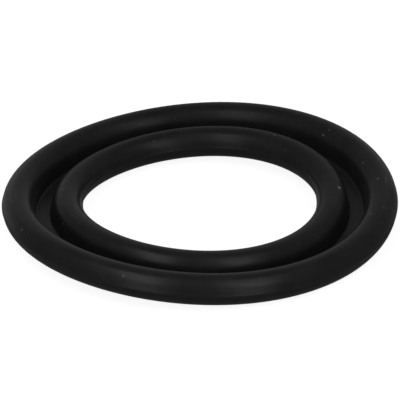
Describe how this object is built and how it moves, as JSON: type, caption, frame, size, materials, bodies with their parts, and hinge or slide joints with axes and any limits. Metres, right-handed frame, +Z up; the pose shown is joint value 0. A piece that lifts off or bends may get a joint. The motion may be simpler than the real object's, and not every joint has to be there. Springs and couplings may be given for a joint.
{
  "type": "sealing ring",
  "caption": "Moulded black rubber sealing ring with an outer and an inner round bead joined by a low flat web, with a deep channel between them.",
  "frame": {"origin": "centre of the ring on its flat underside", "axes": "+Z up along the ring's axis, from the flat underside towards the open channel"},
  "size_m": [0.066, 0.066, 0.0053],
  "materials": {
    "rubber": "black moulded rubber, satin, with a faint grain and a few specks of dust"
  },
  "bodies": {
    "root": {"seal_ring": "rubber"}
  },
  "joints": []
}
